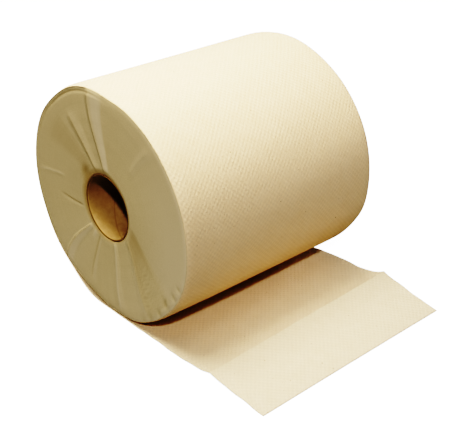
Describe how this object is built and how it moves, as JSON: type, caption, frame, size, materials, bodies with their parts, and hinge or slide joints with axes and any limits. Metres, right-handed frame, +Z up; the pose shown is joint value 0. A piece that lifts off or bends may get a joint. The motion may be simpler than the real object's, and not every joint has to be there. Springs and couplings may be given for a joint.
{
  "type": "paper towel roll",
  "caption": "Thick soft roll of plain cream paper towel wound on a cardboard core, lying on its side with its free end drawn out along the floor.",
  "frame": {"origin": "on the floor, straight under the middle of the core's axis", "axes": "+Y along the roll's axis, +X the way the free end runs out, +Z up"},
  "size_m": [0.288, 0.203, 0.1977],
  "materials": {
    "cardboard": "matt grey-brown board",
    "towel": "matt, embossed, unbleached cream"
  },
  "bodies": {
    "root": {"core": "cardboard", "paper_roll": "towel"}
  },
  "joints": []
}
